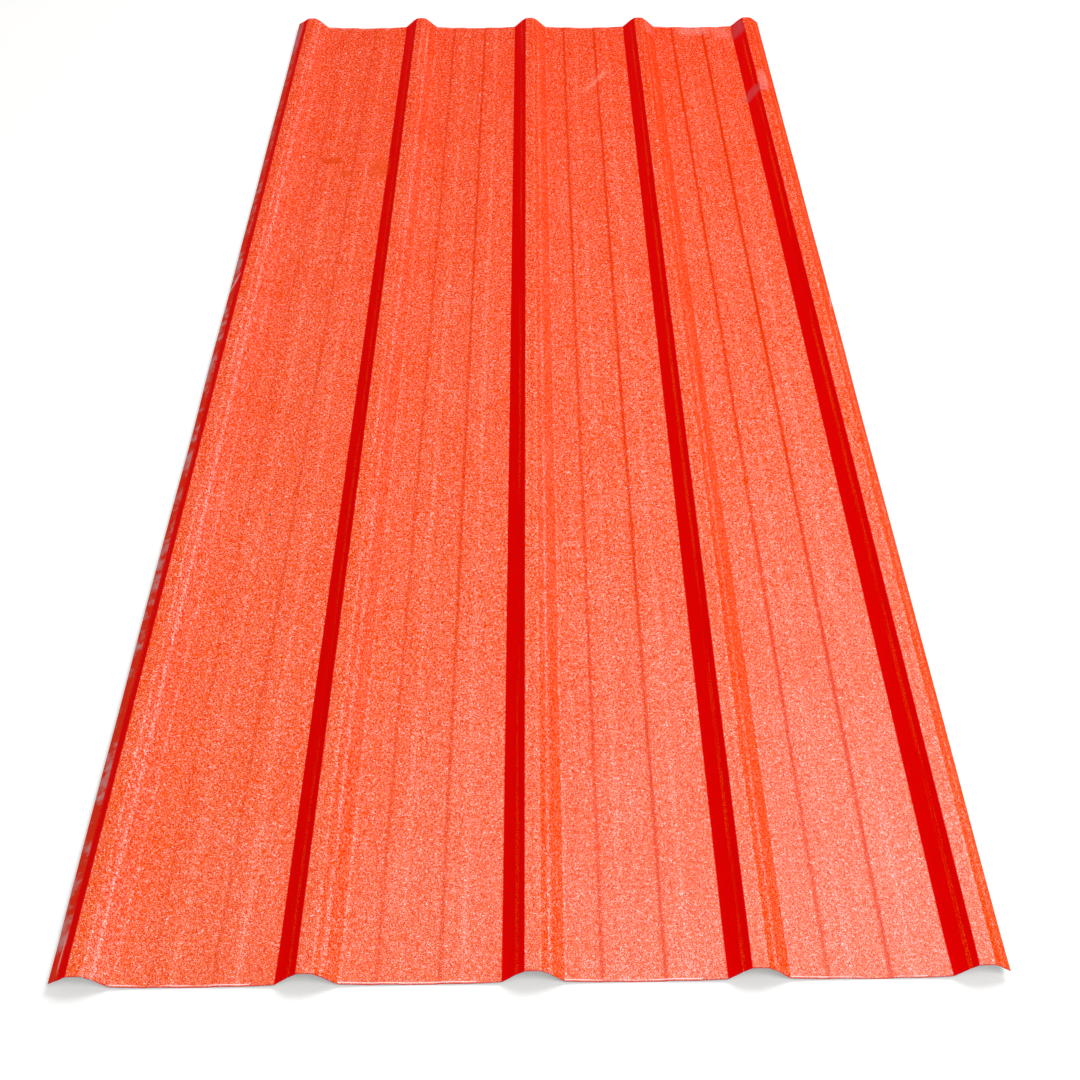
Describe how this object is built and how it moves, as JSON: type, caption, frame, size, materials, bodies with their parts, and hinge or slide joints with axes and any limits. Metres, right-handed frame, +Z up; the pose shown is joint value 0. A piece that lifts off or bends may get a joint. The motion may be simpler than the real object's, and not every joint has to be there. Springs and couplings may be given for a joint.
{
  "type": "corrugated metal roofing sheet",
  "caption": "Long box-rib roofing sheet of painted steel, with flat-topped ribs, creased flanks, low stiffening ribs in the pans and a short lip down each side.",
  "frame": {"origin": "on the floor, half way along the sheet and half way between its two side edges", "axes": "+X across the ribs to the shorter side lip, +Y along the ribs, +Z up, away from the floor that the pans lie on"},
  "size_m": [1.0585, 2.5, 0.0255],
  "materials": {
    "painted_steel": "matt textured orange-red coil coating"
  },
  "bodies": {
    "root": {"roofing_sheet": "painted_steel"}
  },
  "joints": []
}
